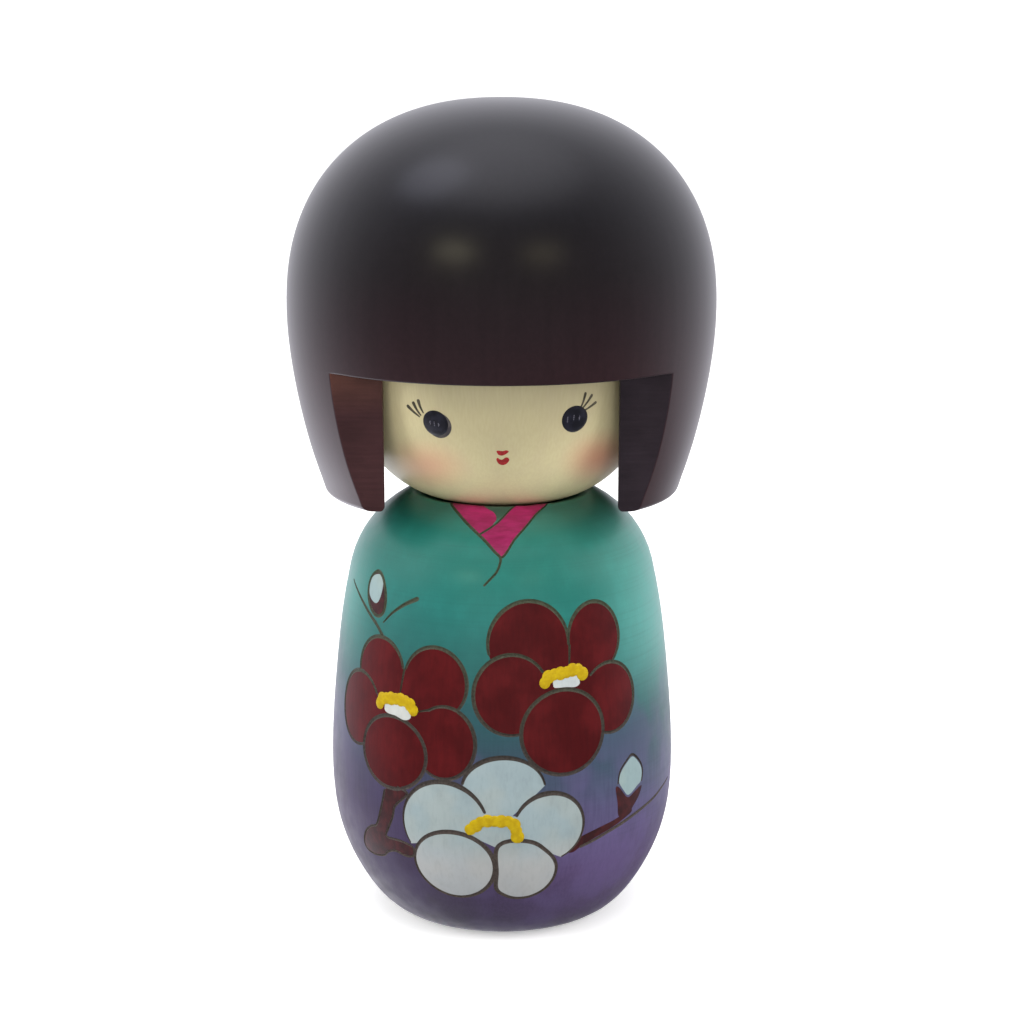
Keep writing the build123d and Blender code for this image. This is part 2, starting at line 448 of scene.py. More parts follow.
class Recipe(Nodes):
    """A material being built. Its place, x and z are in millimetres on the doll."""

    def __init__(self, name):
        self.material = bpy.data.materials.new(name)
        super().__init__(self.material)
        self.place = self.vector("MULTIPLY", self.add("TexCoord").outputs["Object"], (1 / MM,) * 3)
        axes = self.add("SeparateXYZ", Vector=self.place).outputs
        self.x, self.z = axes["X"], axes["Z"]

    def vector(self, operation, a, b):
        node = self.add("VectorMath", {"operation": operation})
        self.feed(node.inputs[0], a)
        self.feed(node.inputs[1], b)
        return node.outputs["Vector"]

    def noise(self, stretch, detail=3.0, roughness=0.55, shift=0.0):
        """Noise with the given number of ripples per millimetre along x, y and z."""
        at = self.vector("MULTIPLY", self.place, stretch)
        at = self.vector("ADD", at, (shift,) * 3)
        node = self.add("TexNoise", Vector=at, Scale=1.0, Detail=detail, Roughness=roughness)
        return node.outputs["Fac"]

    def mix(self, factor, first, second):
        node = self.add("Mix", {"data_type": "RGBA"}, Factor=factor, A=first, B=second)
        return node.outputs["Result"]

    def ramp(self, value, stops):
        """Colours along a value; each stop is (value, colour)."""
        low, high = stops[0][0], stops[-1][0]
        node = self.add("ValToRGB", Fac=self.ease(value, low, high, kind="LINEAR"))
        elements = node.color_ramp.elements
        elements[0].position, elements[0].color = 0.0, stops[0][1]
        elements[1].position, elements[1].color = 1.0, stops[-1][1]
        for at, colour in stops[1:-1]:
            elements.new((at - low) / (high - low)).color = colour
        return node.outputs["Color"]

    def darker(self, colour, amount):
        """The colour times 1 - amount, which is lighter when the amount is below 0."""
        node = self.add("VectorMath", {"operation": "SCALE"})
        self.feed(node.inputs[0], colour[:3] if isinstance(colour, tuple) else colour)
        self.feed(node.inputs["Scale"], self.calculate("SUBTRACT", 1.0, amount))
        return node.outputs["Vector"]

    def spot(self, centre, halves):
        """1 at the centre of a soft oval seen from in front, and 0 outside it."""
        x = self.calculate("DIVIDE", self.calculate("SUBTRACT", self.x, centre[0]), halves[0])
        z = self.calculate("DIVIDE", self.calculate("SUBTRACT", self.z, centre[1]), halves[1])
        away = self.calculate("ADD", self.times(x, x), self.times(z, z))
        return self.ease(self.calculate("SQRT", away), 0.0, 1.0, 1.0, 0.0)

    def finish(self, colour, roughness, coat, coat_roughness=0.25, bump=None, bump_height=0.02,
               under_gloss=0.25, emission=None):
        """The material, with a coat of lacquer whose roughness is its own."""
        shader = self.add("BsdfPrincipled", Base_Color=colour, Roughness=roughness, IOR=1.45,
                          Specular_IOR_Level=under_gloss, Coat_Weight=coat, Coat_Roughness=coat_roughness)
        if bump is not None:
            node = self.add("Bump", Height=bump, Strength=1.0, Distance=bump_height * MM)
            self.feed(shader.inputs["Normal"], node.outputs["Normal"])
            self.feed(shader.inputs["Coat Normal"], node.outputs["Normal"])
        if emission is not None:
            self.feed(shader.inputs["Emission Color"], WHITE_LIGHT)
            self.feed(shader.inputs["Emission Strength"], emission)
        self.add("OutputMaterial", Surface=shader.outputs["BSDF"])
        return self.material


def stain_and_painted_light_material():
    """Body stain: purple at the foot, through blue-grey, to teal, with painted shade round the neck and
    painted light at the sides.
    """
    m = Recipe("stain")
    drift = m.times(m.calculate("SUBTRACT", m.noise((0.05, 0.05, 0.05), 2.0), 0.5), 9.0)
    level = m.calculate("ADD", m.calculate("ADD", m.z, m.times(m.x, 0.14)), drift)
    colour = m.ramp(level, [
        (0.0, rgb(58, 50, 72)),
        (7.0, rgb(70, 58, 86)),
        (18.0, rgb(78, 64, 98)),
        (29.0, rgb(72, 68, 98)),
        (37.0, rgb(54, 72, 88)),
        (44.0, rgb(40, 82, 88)),
        (52.0, rgb(36, 96, 93)),
        (62.0, rgb(32, 111, 104)),
        (70.0, rgb(31, 112, 102)),
        (75.5, rgb(34, 114, 102)),
        (80.0, rgb(54, 118, 104)),
    ])
    # Painted light: the teal is mixed paler towards both sides, as if lit from the sides.
    edges = m.calculate("MAXIMUM", m.ease(m.x, 14.0, 30.0), m.ease(m.x, -22.0, -32.0, 0.0, 0.9))
    painted_side_light = m.times(edges, m.ease(level, 42.0, 62.0, 0.0, 0.42))
    colour = m.mix(painted_side_light, colour, rgb(118, 198, 188))
    # Wood fibre, rings left by the lathe and cloudy blotches.
    fibre = m.noise((2.2, 2.2, 0.12), 4.0, 0.6)
    turning = m.noise((0.02, 0.02, 3.2), 3.0, 0.6, 3.0)
    blotch = m.noise((0.35, 0.35, 0.3), 3.0, 0.6, 7.0)
    grain = m.ease(m.z, 30.0, 50.0, 0.16, 0.03)
    ring_strength = m.ease(m.x, 16.0, 27.0, 0.05, 0.1)
    colour = m.darker(colour, m.times(m.ease(fibre, 0.35, 0.7), grain))
    colour = m.darker(colour, m.times(m.ease(turning, 0.45, 0.68), ring_strength))
    colour = m.mix(m.ease(blotch, 0.4, 0.75, 0.0, 0.3), colour, m.darker(colour, -0.35))
    # Low down there are warmer patches, and painted shade darkens the viewer's left while painted light
    # brightens the right.
    patch = m.noise((0.11, 0.11, 0.09), 2.0, 0.5, 11.0)
    low = m.ease(m.z, 54.0, 40.0, 0.0, 0.35)
    colour = m.mix(m.times(m.ease(patch, 0.42, 0.62), low), colour, rgb(88, 76, 116))
    painted_side_shade = m.ease(m.x, -20.0, 20.0, 0.34, -0.42)
    colour = m.darker(colour, m.times(painted_side_shade, m.ease(m.z, 42.0, 26.0)))
    # Painted shade: the collar's notch under the chin is darkened to olive. Painted light: the body's
    # highest ring is lightened against the chin's shadow.
    painted_chin_shade = m.ease(m.calculate("ABSOLUTE", m.x), 8.0, 4.0, 0.0, 0.7)
    colour = m.mix(m.times(painted_chin_shade, m.ease(m.z, 78.0, 79.0)), colour, rgb(58, 72, 58))
    colour = m.mix(m.ease(m.z, 79.8, 80.3), colour, m.darker(colour, -0.7))
    rough = m.ease(blotch, 0.3, 0.7, 0.42, 0.55)
    return m.finish(colour, rough, m.ease(m.z, 8.0, 46.0, 0.1, 0.65), 0.28, fibre, 0.01)


def burn_material():
    """The burnt bottom of the carved lines: olive brown on teal, purple brown low down."""
    m = Recipe("burnt_line")
    speck = m.noise((2.5, 2.5, 2.5), 3.0, 0.7)
    colour = m.ramp(m.z, [
        (20.0, rgb(74, 65, 60)),
        (30.0, rgb(67, 60, 56)),
        (38.0, rgb(60, 54, 50)),
        (48.0, rgb(64, 62, 52)),
        (80.0, rgb(64, 74, 54)),
    ])
    colour = m.darker(colour, m.ease(speck, 0.3, 0.75, -0.25, 0.4))
    return m.finish(colour, 0.6, 0.25, 0.35, speck, 0.03)


def red_material():
    """Dark camellia red with lighter worn patches and a vertical grain."""
    m = Recipe("camellia_red")
    blotch = m.noise((0.16, 0.16, 0.14), 4.0, 0.6, 2.0)
    fibre = m.noise((1.8, 1.8, 0.15), 4.0, 0.6)
    colour = m.mix(m.ease(blotch, 0.35, 0.68), rgb(71, 7, 11), rgb(88, 13, 17))
    colour = m.darker(colour, m.ease(fibre, 0.4, 0.7, 0.0, 0.15))
    return m.finish(colour, 0.5, 0.22, 0.28, fibre, 0.015)


def white_material(name, tint):
    """Thin white paint, cloudy where the stain shows through."""
    m = Recipe(name)
    cloud = m.noise((0.2, 0.2, 0.18), 4.0, 0.6, 5.0)
    fibre = m.noise((1.5, 1.5, 0.4), 3.0, 0.6)
    hue = m.noise((0.12, 0.12, 0.12), 2.0, 0.5, 15.0)
    colour = m.mix(m.ease(cloud, 0.35, 0.7), tint, m.darker(tint, 0.12))
    colour = m.mix(m.ease(hue, 0.4, 0.6, 0.0, 0.2), colour, rgb(120, 158, 178))
    colour = m.mix(m.ease(m.z, 24.0, 16.0, 0.0, 0.35), colour, rgb(204, 192, 190))
    colour = m.darker(colour, m.ease(fibre, 0.45, 0.75, 0.0, 0.08))
    return m.finish(colour, 0.5, 0.45, 0.3, fibre, 0.02)


def yellow_material():
    """Thick yolk yellow in two mottled tones."""
    m = Recipe("stamen_yellow")
    mottle = m.noise((0.9, 0.9, 0.9), 3.0, 0.6)
    colour = m.mix(m.ease(mottle, 0.35, 0.7), rgb(174, 144, 0), rgb(190, 162, 2))
    return m.finish(colour, 0.5, 0.12, 0.3, mottle, 0.04)


def magenta_and_painted_light_material():
    """Collar pink, uneven as it was brushed on, and painted lighter at the crest against the chin's shadow.
    """
    m = Recipe("collar_magenta_painted_light")
    brush = m.noise((0.25, 0.25, 1.4), 3.0, 0.6)
    colour = m.mix(m.ease(brush, 0.35, 0.7), rgb(130, 18, 70), rgb(156, 28, 90))
    # Painted light: the pink is lightened towards the crest, where the chin casts its shadow.
    colour = m.mix(m.ease(m.z, 77.5, 80.2), colour, m.darker(colour, -0.55))
    return m.finish(colour, 0.5, 0.6, 0.3, brush, 0.02)


def bark_material():
    """Red-brown branches and bud cups."""
    m = Recipe("branch_brown")
    streak = m.noise((0.7, 0.7, 0.5), 4.0, 0.65)
    colour = m.mix(m.ease(streak, 0.35, 0.7), rgb(50, 26, 28), rgb(74, 32, 34))
    return m.finish(colour, 0.5, 0.2, 0.3, streak, 0.02)


def face_wood_and_painted_light_material():
    """Bare cream wood under lacquer: fine vertical grain, blushed cheeks and chin."""
    m = Recipe("face_wood")
    fibre = m.noise((2.6, 2.6, 0.02), 2.0, 0.5)
    band = m.noise((0.35, 0.35, 0.02), 2.0, 0.5, 4.0)
    colour = m.mix(m.ease(fibre, 0.3, 0.7), rgb(192, 182, 143), rgb(188, 177, 138))
    colour = m.mix(m.ease(band, 0.4, 0.7, 0.0, 0.3), colour, rgb(183, 169, 137))
    # Painted light: lighter on the viewer's left and low on the face under both cheeks.
    tilted = m.calculate("SUBTRACT", m.z, m.times(m.calculate("ABSOLUTE", m.x), 0.45))
    painted_face_light = m.calculate("MAXIMUM", m.ease(m.x, -8.0, -20.0), m.ease(tilted, 95.0, 82.0, 0.0, 0.9))
    colour = m.mix(painted_face_light, colour, m.darker(colour, -0.42))
    left_cheek, right_cheek = m.spot((-13.2, 88.5), (9.5, 6.5)), m.spot((17.6, 89.3), (8.5, 7.0))
    below_lips = m.spot((0.0, 80.0), (16.0, 3.5))
    for place, strength in ((left_cheek, 0.55), (right_cheek, 0.75), (below_lips, 0.3)):
        colour = m.mix(m.times(place, strength), colour, rgb(214, 138, 112))
    return m.finish(colour, 0.5, 0.36, 0.3, fibre, 0.0015)


def plain_paint(name, ripples, spread, dark, light, roughness, coat, coat_roughness):
    """Paint of two tones in pools, with so many ripples per millimetre."""
    m = Recipe(name)
    pool = m.ease(m.noise((ripples,) * 3, 2.0), *spread)
    return m.finish(m.mix(pool, dark, light), roughness, coat, coat_roughness)


def ink_material():
    """Near-black navy eye paint."""
    return plain_paint("eye_ink", 0.8, (0.35, 0.7), rgb(26, 26, 34), rgb(38, 38, 50), 0.4, 0.8, 0.15)


def soft_ink_material():
    """The thinner grey-brown ring of ink at the edge of an eye."""
    return plain_paint("eye_edge", 0.9, (0.3, 0.7), rgb(66, 62, 66), rgb(92, 86, 84), 0.5, 0.5, 0.25)


def glint_material():
    """Painted highlights: pale touches on each eye for the lamps' reflections."""
    return plain_paint("eye_glint", 2.0, (0.3, 0.7), rgb(88, 86, 98), rgb(106, 104, 116), 0.4, 0.5, 0.25)


def lash_material():
    """Grey-brown lash strokes."""
    return plain_paint("lash_ink", 1.5, (0.3, 0.7), rgb(66, 62, 50), rgb(92, 84, 70), 0.5, 0.4, 0.3)


def lip_material():
    """Vermilion lips."""
    return plain_paint("lip_red", 1.2, (0.35, 0.7), rgb(142, 32, 34), rgb(176, 44, 48), 0.45, 0.5, 0.25)


def hair_material():
    """Black-brown stain under satin lacquer, warmer towards the tips, faint vertical grain."""
    m = Recipe("hair_lacquer")
    fibre = m.noise((0.9, 0.9, 0.02), 2.0, 0.5)
    speck = m.noise((1.6, 1.6, 1.2), 3.0, 0.7)
    colour = m.ramp(m.z, [
        (84.0, rgb(52, 30, 34)),
        (104.0, rgb(46, 28, 32)),
        (114.0, rgb(36, 24, 28)),
        (124.0, rgb(25, 20, 23)),
        (134.0, rgb(19, 17, 21)),
        (150.0, rgb(17, 17, 21)),
    ])
    colour = m.darker(colour, m.ease(fibre, 0.3, 0.7, -0.06, 0.06))
    colour = m.darker(colour, m.ease(speck, 0.3, 0.7, -0.1, 0.1))
    return m.finish(colour, 0.6, 1.0, 0.28, speck, 0.002, under_gloss=0.08)


def sawn_material():
    """Sawn lock fronts: brown wood with faint level saw marks, darker on the doll's left."""
    m = Recipe("sawn_hair")
    saw = m.noise((0.12, 0.12, 2.0), 3.0, 0.6)
    cloud = m.noise((0.15, 0.15, 0.15), 3.0, 0.5)
    brown = m.ramp(m.z, [
        (84.0, rgb(66, 38, 40)),
        (98.0, rgb(64, 37, 39)),
        (105.0, rgb(86, 52, 44)),
    ])
    colour = m.mix(m.ease(m.x, -5.0, 5.0), brown, rgb(44, 35, 42))
    colour = m.darker(colour, m.ease(saw, 0.35, 0.7, -0.06, 0.1))
    colour = m.darker(colour, m.ease(cloud, 0.35, 0.7, -0.1, 0.15))
    return m.finish(colour, 0.55, 0.4, 0.35, saw, 0.03)


def bare_wood_material():
    """Unfinished beech for the dowels."""
    m = Recipe("bare_wood")
    fibre = m.noise((2.0, 2.0, 0.1), 4.0, 0.6)
    fleck = m.noise((0.9, 0.9, 0.35), 3.0, 0.7, 6.0)
    colour = m.mix(m.ease(fibre, 0.3, 0.7), rgb(214, 184, 140), rgb(188, 152, 108))
    colour = m.darker(colour, m.ease(fleck, 0.62, 0.72, 0.0, 0.3))
    return m.finish(colour, 0.65, 0.0, 0.3, fibre, 0.03)


# ---------------------------------------------------------------- what is painted on the body

ALL_ROUND = (0, 360)
FADING = [0.26, 0.37, 0.37, 0.37, 0.26]
EVEN = [0.37]

# Each petal is an oval: centre, half sizes, the part of its rim that is carved, in degrees, and the
# carved line's half widths from the start of that part to its end.
LEFT_RED = {
    "heart": (-21.5, 45.5),
    "core": [(-26.0, 47.0), (-19.45, 52.4), (-13.5, 46.0), (-17.0, 42.5), (-23.0, 42.5)],
    "petals": [
        ((-25.7, 51.3), (6.1, 5.9), (13, 195), FADING),
        ((-12.9, 50.6), (6.5, 6.5), (-44, 162), FADING),
        ((-31.2, 43.1), (6.2, 6.8), (35, 292), FADING),
        ((-10.6, 40.1), (5.9, 6.6), (-124, 122), FADING),
        ((-21.5, 36.8), (7.5, 6.7), ALL_ROUND, EVEN),
    ],
}
RIGHT_RED = {
    "heart": (12.3, 51.0),
    "core": [(7.8, 53.8), (13.4, 57.6), (18.5, 52.2), (17.5, 48.5), (7.5, 48.5)],
    "petals": [
        ((5.3, 58.3), (7.9, 7.4), (-4, 194), FADING),
        ((19.2, 58.3), (6.0, 6.2), (-49, 186), FADING),
        ((1.9, 49.2), (7.1, 7.2), (34, 281), FADING),
        ((21.8, 46.9), (6.3, 6.4), (-110, 132), FADING),
        ((11.7, 42.0), (8.1, 7.7), ALL_ROUND, EVEN),
    ],
}
WHITE = {
    "heart": (-1.0, 24.5),
    "core": [(-6.0, 23.5), (-1.1, 21.2), (4.5, 22.8), (3.5, 27.0), (-3.5, 28.0)],
    "petals": [
        ((0.4, 32.0), (7.5, 6.0), (8, 170), [0.2, 0.32, 0.45, 0.45, 0.28]),
        ((-10.6, 24.8), (8.2, 8.2), (22, 212), [0.28, 0.5, 0.44, 0.24, 0.15]),
        ((8.8, 24.6), (6.6, 6.5), (-67, 156), [0.15, 0.24, 0.36, 0.5, 0.28]),
        ((-9.1, 16.9), (7.9, 6.8), ALL_ROUND, [0.42, 0.46, 0.26, 0.32, 0.42]),
    ],
}
LOW_RIGHT_PETAL = [
    (-1.0, 20.2), (-0.9, 16.2), (-1.0, 12.4), (0.9, 10.8), (3.2, 10.2), (6.0, 10.5),
    (8.6, 11.9), (10.1, 14.0), (10.5, 16.4), (9.8, 18.4), (8.2, 20.2), (5.9, 21.9), (2.6, 22.5), (0.0, 21.9),
]

# Short lines between two petals, from the outside towards the heart.
SHORT_LINES = [((-19.4, 52.3), (-20.2, 47.5)), ((13.4, 57.4), (13.1, 53.6)), ((-13.4, 45.85), (-15.9, 45.2))]

# Stamens: the middle line of a band of yellow dabs, and the white patch under it.
LEFT_STAMENS = [(-25.0, 45.2), (-24.3, 46.2), (-21.0, 46.7), (-18.4, 46.6), (-17.0, 45.3)]
RIGHT_STAMENS = [(8.2, 51.2), (9.3, 52.4), (12.5, 52.7), (14.6, 53.1), (15.8, 52.1)]
WHITE_STAMENS = [
    (-5.6, 24.5), (-4.4, 25.4), (-3.2, 26.2), (-0.5, 26.2), (1.3, 26.2), (2.4, 25.3), (2.9, 23.2),
]
DAB_RADIUS = 1.16
LEFT_PATCH = [
    (-23.7, 44.4), (-23.0, 46.0), (-18.6, 46.0), (-17.4, 44.0), (-18.8, 43.2), (-21.0, 43.7), (-22.8, 43.8),
]
RIGHT_PATCH = [
    (9.8, 50.4), (10.2, 52.2), (14.0, 52.2), (15.2, 50.6), (14.2, 49.9), (12.3, 50.1), (10.4, 50.1),
]

# Buds, branches and collar, as drawn outlines and lines.
LEFT_BUD_RIM = [
    (-30.1, 68.3), (-31.6, 67.4), (-32.3, 66.0), (-32.3, 64.4), (-31.5, 62.8), (-30.1, 61.4),
    (-28.6, 60.7), (-27.2, 60.7), (-26.2, 61.5), (-25.9, 62.9), (-26.2, 64.7), (-27.2, 66.7), (-28.5, 67.9),
]
LEFT_BUD = [
    (-29.9, 67.8), (-31.4, 67.1), (-32.0, 65.6), (-31.7, 64.1), (-30.5, 63.1), (-28.9, 62.7),
    (-28.0, 63.4), (-27.5, 65.0), (-27.5, 66.7), (-28.5, 67.7),
]
RIGHT_BUD = [
    (27.0, 34.8), (25.3, 34.0), (23.8, 32.6), (23.2, 31.0), (24.5, 28.9), (25.8, 27.8),
    (28.2, 29.0), (29.3, 29.6), (29.6, 31.3), (29.0, 32.9),
]
RIGHT_BUD_RIM = [
    (23.0, 30.6), (23.5, 32.7), (25.1, 34.3), (27.0, 35.2), (29.2, 33.2), (29.9, 31.3), (29.6, 29.6),
]
RIGHT_CUP = [
    (22.4, 29.9), (23.3, 29.8), (25.5, 27.4), (27.4, 28.0), (29.6, 28.7), (28.8, 26.9), (27.0, 25.1),
    (25.8, 24.2), (23.4, 24.2), (22.9, 27.1),
]
LEFT_BRANCH = [
    (-23.1, 29.4), (-24.0, 26.1), (-25.6, 22.2), (-27.4, 21.3), (-29.4, 19.7), (-30.7, 17.4),
    (-30.4, 15.8), (-27.8, 15.4), (-25.0, 16.0), (-23.6, 17.1), (-21.5, 17.8), (-19.1, 17.3),
    (-17.4, 17.6), (-17.0, 18.6), (-17.4, 19.6), (-20.0, 20.2), (-23.3, 20.3), (-22.6, 22.0),
    (-21.3, 24.6), (-20.6, 26.9), (-17.8, 29.7), (-20.0, 30.6),
]
TWIG = [(13.2, 20.0), (15.4, 21.2), (18.4, 22.2), (21.1, 22.9), (23.9, 23.7), (26.5, 24.6)]
TWIG_HALVES = [1.0, 0.8, 0.6, 0.45]
TWIG_LINE = [
    (15.1, 20.0), (17.5, 20.7), (21.0, 21.8), (24.0, 22.6), (26.7, 23.3), (30.2, 24.1), (34.5, 24.9),
    (38.1, 25.7), (42.3, 26.3),
]
STEM = [(-40.6, 64.8), (-36.6, 63.3), (-33.1, 61.8), (-30.3, 60.4), (-27.8, 59.1), (-25.7, 57.5)]
SIDE_TWIG = [(-25.8, 59.8), (-23.7, 61.8), (-20.8, 63.7), (-17.8, 65.1)]
COLLAR_LEFT_LINE = [
    (-24.0, 81.2), (-19.0, 80.3), (-12.3, 78.75), (-5.2, 76.1), (-1.3, 73.7), (-0.2, 72.9),
    (-0.3, 71.9), (-1.0, 70.6), (-2.1, 69.6), (-3.5, 68.4),
]
COLLAR_RIGHT_LINE = [
    (-0.2, 72.8), (1.0, 73.5), (3.6, 75.9), (8.5, 78.3), (12.0, 79.4), (17.0, 80.3), (20.0, 81.2),
]
COLLAR_FOLD = [(-5.5, 76.4), (-1.5, 77.95), (2.2, 79.6), (5.5, 80.45), (9.6, 81.3)]
COLLAR_UNDER = [
    (-24.0, 81.5), (-19.0, 80.3), (-12.3, 78.75), (-5.5, 76.3), (-2.2, 77.95), (-1.4, 78.8),
    (-2.6, 79.55), (-5.6, 80.1), (-10.0, 81.5),
]
COLLAR_OVER = [
    (-5.3, 76.3), (-1.3, 73.7), (-0.2, 72.9), (1.0, 73.5), (3.6, 75.9), (8.5, 78.3), (12.0, 79.4),
    (17.0, 80.3), (20.0, 81.5), (9.6, 81.5), (5.5, 80.45), (2.2, 79.6), (-1.5, 77.95),
]


def petal_rim(petal):
    """The carved rim of a petal, as an open line."""
    centre, halves, span, _ = petal
    rim = oval(centre, halves, *span)
    return closed_line(rim) if span == ALL_ROUND else rim


def petal_fill(petal, heart, past):
    """A petal's paint: all of a full oval, or the carved rim and a few degrees past it,
    joined to the flower's heart."""
    centre, halves, span, _ = petal
    if span == ALL_ROUND:
        return oval(centre, halves)
    return np.vstack([oval(centre, halves, span[0] - past, span[1] + past), [heart]])


def flower_fills(flower, past):
    return [petal_fill(petal, flower["heart"], past) for petal in flower["petals"]]


def carved_lines():
    """Every carved line on the body as (line, half widths along it)."""
    petals = LEFT_RED["petals"] + RIGHT_RED["petals"] + WHITE["petals"]
    lines = [(petal_rim(petal), petal[3]) for petal in petals]
    lines += [(np.array(ends), [0.24, 0.14]) for ends in SHORT_LINES]
    lines += [
        (closed_line(drawn(LOW_RIGHT_PETAL, True)), [0.4, 0.4, 0.3, 0.3, 0.42, 0.4]),
        (closed_line(drawn(LEFT_BUD_RIM, True)), [0.32]),
        (drawn(RIGHT_BUD_RIM), [0.18, 0.24, 0.18]),
        (drawn(LEFT_BRANCH), [0.24]),
        (drawn(TWIG_LINE), [0.3, 0.36, 0.3, 0.18]),
        (drawn(STEM), [0.18, 0.3, 0.34]),
        (drawn(SIDE_TWIG), [0.16, 0.3, 0.42]),
        (drawn(COLLAR_LEFT_LINE), [0.2, 0.26, 0.28, 0.2]),
        (drawn(COLLAR_RIGHT_LINE), [0.22, 0.16]),
        (drawn(COLLAR_FOLD), [0.22, 0.18]),
    ]
    return lines


def dabs(line):
    """Round dabs of paint along a line, every other one a little larger."""
    outlines = []
    for i, centre in enumerate(resampled(drawn(line), DAB_RADIUS * 1.05)):
        size = DAB_RADIUS * (1.08 if i % 2 else 0.94)
        outlines.append(oval(centre, (size, size)))
    return outlines


def painted_areas():
    """What is painted, from the bottom coat up to the stamens: (piece name, material, outlines)."""
    red, bark = red_material(), bark_material()
    petal_white = white_material("petal_white", rgb(156, 168, 168))
    bud_white = white_material("bud_white", rgb(150, 168, 165))
    patch_white = white_material("patch_white", rgb(198, 200, 196))
    white = flower_fills(WHITE, 2) + [drawn(LOW_RIGHT_PETAL, True), np.array(WHITE["core"])]
    stamens = dabs(LEFT_STAMENS) + dabs(RIGHT_STAMENS) + dabs(WHITE_STAMENS)
    # Here the twig's heights stand in for distances along the outline, which is near enough for its width.
    twig = body_surface.stroke(drawn(TWIG), TWIG_HALVES)
    return [
        ("left_red_petals", red, flower_fills(LEFT_RED, 14) + [np.array(LEFT_RED["core"])]),
        ("right_red_petals", red, flower_fills(RIGHT_RED, 14) + [np.array(RIGHT_RED["core"])]),
        ("branch", bark, [drawn(LEFT_BRANCH, True), twig]),
        ("white_petals", petal_white, white),
        ("bud_cups", bark, [drawn(LEFT_BUD_RIM, True), drawn(RIGHT_CUP, True)]),
        ("white_buds", bud_white, [drawn(LEFT_BUD, True), drawn(RIGHT_BUD, True)]),
        ("stamen_patches", patch_white, [drawn(LEFT_PATCH, True), drawn(RIGHT_PATCH, True)]),
        ("collar", magenta_and_painted_light_material(), [drawn(COLLAR_UNDER, True, 2), drawn(COLLAR_OVER, True, 3)]),
        ("stamens", yellow_material(), stamens),
    ]


# ---------------------------------------------------------------- body

HALF_TURN = math.pi * BODY_RADIUS
SEAT_CARRIED_ON = 10             # how many rings of the dish belong to the decorated side

# The body's map: its decorated front has a finer lattice of points than the rest.
FRONT_HALF_WIDTH = 46
FRONT_LOW = 7
FINE_PITCH = 1.1
COARSE_PITCH = 2.3
LINE_PITCH = 0.4
OUTLINE_PITCH = 0.45
POINT_GAP = 0.5
BORDER_ROWS = 48

side = spline(
    [(19.7, 0.0), (26.5, 6.5), (31.2, 17.5), (32.3, 30.0), (31.2, 47.0), (29.4, 61.0), (28.4, 66.0)],
    (0.94, 0.33), (-0.2, 0.98), 150,
)
shoulder = tangent_arc((28.4, 66.0), (-0.2, 0.98), (16.5, CREST_Z), 60)[:-1]
seat = spline([(16.2, 80.22), (SEAT_RADIUS, SEAT_Z)], (-0.95, -0.31), (-1, 0), 24)
crest = bend(shoulder[-1], (16.5, CREST_Z), seat[0], 6)[1:-1]
body_surface = Turned(np.vstack([side, shoulder[1:], crest, seat[:SEAT_CARRIED_ON]]), BODY_RADIUS)


class Carving:
    """How deep the carved lines are at any place, from points close together along them."""

    def __init__(self, surface, lines):
        centres, halves = [], []
        for line, half in lines:
            fine = resampled(surface.lay(line), 0.08)
            centres.append(surface.points(fine))
            share = np.linspace(0, 1, len(fine))
            halves.append(np.interp(share, np.linspace(0, 1, len(half)), half))
        self.halves = np.concatenate(halves)
        self.tree = kdtree.KDTree(len(self.halves))
        for i, p in enumerate(np.vstack(centres)):
            self.tree.insert(p, i)
        self.tree.balance()

    def nearness(self, points):
        """1 on a line's middle, falling to 0 at its lip and outside."""
        result = []
        for p in points:
            _, i, away = self.tree.find(p)
            result.append(max(0.0, 1 - (away / self.halves[i]) ** 2))
        return np.array(result)


def body_map(lines, areas):
    """The body's flat map in triangles, fine where it is decorated, with edges along every outline."""
    top = body_surface.along[-1]
    across = np.linspace(-HALF_TURN, HALF_TURN, RING_POINTS + 1)
    up = np.linspace(0, top, BORDER_ROWS)
    border = [np.column_stack([across, np.full(len(across), s)]) for s in (0.0, top)]
    border += [np.column_stack([np.full(len(up), a), up]) for a in (-HALF_TURN, HALF_TURN)]
    loops = [body_surface.stroke(body_surface.lay(line), half) for line, half in lines]
    middles = [resampled(body_surface.lay(line), LINE_PITCH) for line, _ in lines]
    for _, _, outlines in areas:
        loops.extend(resampled(closed_line(o), OUTLINE_PITCH)[:-1] for o in outlines)
    fixed = np.vstack(loops + middles + border)
    fine = lattice((-FRONT_HALF_WIDTH, FRONT_LOW), (FRONT_HALF_WIDTH, top - 0.6), FINE_PITCH)
    fine = apart_from(fine, fixed, POINT_GAP)
    coarse = lattice((1.2 - HALF_TURN, 1.2), (HALF_TURN - 1.2, top - 1.0), COARSE_PITCH)
    beside = abs(coarse[:, 0]) > FRONT_HALF_WIDTH + POINT_GAP
    coarse = coarse[beside | (coarse[:, 1] < FRONT_LOW - POINT_GAP)]
    stamens = areas[-1][2]
    in_dabs = [o * 0.5 + o.mean(0) * 0.5 for o in stamens] + [o.mean(0)[None] for o in stamens]
    return triangulate(loops, middles + border, np.vstack([fine, coarse] + in_dabs))


def paint_body(areas, flat, triangles, in_line):
    """Gives each map triangle to the topmost paint over it. Carved lines stay bare, except under
    the stamens and the white patches below them."""
    centroid = flat[triangles].mean(1)
    coat = np.full(len(triangles), -1)
    for k, (name, _, outlines) in enumerate(areas):
        for outline in outlines:
            hit = inside(centroid, outline)
            coat[hit if name in ("stamens", "stamen_patches") else hit & ~in_line] = k
    for k, (name, material, outlines) in enumerate(areas):
        lift, sink = PAINT_LIFT, PAINT_SINK
        if name == "stamens":
            lift, sink = drops([o.mean(0) for o in outlines], (1.3, 1.3), 0.08, 0.12), 0.3
        film(name, body_surface, flat, triangles[coat == k], material, "torso", lift, sink)


def on_edge(flat, axis, value):
    """The numbers of the map points on one straight edge of the map, in order along it."""
    found = np.where(abs(flat[:, axis] - value) < 1e-3)[0]
    return found[np.argsort(flat[found, 1 - axis])]


